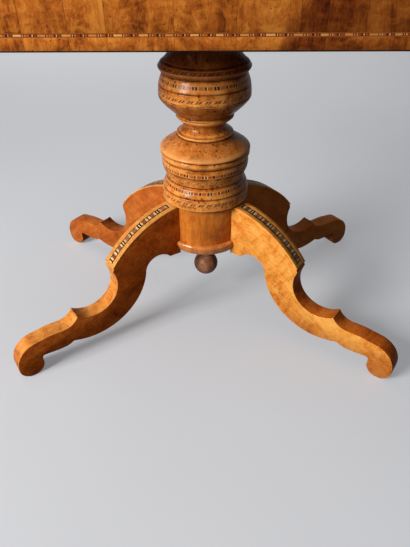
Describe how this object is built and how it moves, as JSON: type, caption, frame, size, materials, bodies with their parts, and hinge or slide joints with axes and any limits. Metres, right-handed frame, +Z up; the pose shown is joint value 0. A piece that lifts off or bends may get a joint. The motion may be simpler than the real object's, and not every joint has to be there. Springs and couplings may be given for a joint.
{
  "type": "folding pedestal table",
  "caption": "Pedestal table on sawn cabriole legs; the top turns a quarter over a card well and opens like a book to a square.",
  "frame": {"origin": "on the floor under the column axis, at the middle of the table", "axes": "+Z up, +X to the right along the front of the table, -Y towards the front"},
  "size_m": [0.86, 0.5636, 0.7624],
  "materials": {
    "leg_wood": "satin figured walnut boards, light golden brown",
    "capping": "satin pale walnut",
    "strip_inlay": "flush inlay of brown and dark blocks",
    "band_inlay": "flush inlay of light and dark blocks",
    "turned_wood": "polished turned walnut",
    "turned_dark": "polished turned walnut, darker",
    "finial_wood": "dark stained turned wood",
    "inner_wood": "plain planed softwood",
    "iron": "dark wrought iron",
    "frieze_veneer": "polished figured veneer",
    "line_inlay": "flush light and dark dashes",
    "dark_line": "ebonised line",
    "felt": "wool felt",
    "top_veneer": "polished figured veneer",
    "peg_wood": "plain hardwood",
    "brass": "aged brass"
  },
  "bodies": {
    "base": {"leg_front_left": "leg_wood", "leg_front_right": "leg_wood", "leg_back_left": "leg_wood", "leg_back_right": "leg_wood", "cap_front_left": "capping", "cap_front_right": "capping", "cap_back_left": "capping", "cap_back_right": "capping", "leg_strips": "strip_inlay", "hub": "turned_wood", "flange": "turned_wood", "hub_plate": "inner_wood", "hub_plate_screws": "iron", "finial": "finial_wood", "spindle": "inner_wood", "tie_rod": "iron", "tie_nut": "iron", "ring_d": "turned_wood", "ring_c": "turned_wood", "ring_b": "turned_wood", "ring_a": "turned_wood", "ovolo": "turned_wood", "bulb": "turned_wood", "neck": "turned_wood", "barrel_lower": "turned_wood", "barrel_upper": "turned_wood", "collar": "turned_dark", "cavetto": "turned_dark", "inlay_ring_d": "band_inlay", "inlay_ring_c": "band_inlay", "inlay_ring_b": "band_inlay", "inlay_ring_a": "band_inlay", "inlay_barrel_lower": "band_inlay", "inlay_barrel_upper": "band_inlay", "inlay_collar": "band_inlay", "bearer_long": "inner_wood", "bearer_cross": "inner_wood", "bearer_screws": "iron", "frieze_front": "frieze_veneer", "frieze_back": "frieze_veneer", "frieze_left": "frieze_veneer", "frieze_right": "frieze_veneer", "frieze_line": "line_inlay", "frieze_edge_line": "dark_line", "corner_blocks": "inner_wood", "well_floor": "inner_wood", "well_divider": "inner_wood", "deck": "inner_wood", "felt_pads": "felt", "pivot_washer": "iron"},
    "lower_leaf": {"leaf_lower": "top_veneer", "pivot_plate": "iron", "pivot_nut": "iron", "stop_peg": "peg_wood", "hinge_plates_lower": "brass", "hinge_pins": "brass", "leaf_screws_lower": "brass"},
    "upper_leaf": {"leaf_upper": "top_veneer", "hinge_plates_upper": "brass", "leaf_screws_upper": "brass"}
  },
  "joints": [
    {"name": "top_swivel", "type": "hinge", "parent": "base", "child": "lower_leaf", "pos_m": [0.1075, 0.1075, 0.713], "axis": [0, 0, 1], "range_deg": [0, 90]},
    {"name": "leaf_fold", "type": "hinge", "parent": "lower_leaf", "child": "upper_leaf", "pos_m": [0, 0.2155, 0.7431], "axis": [-1, 0, 0], "range_deg": [0, 180]}
  ]
}
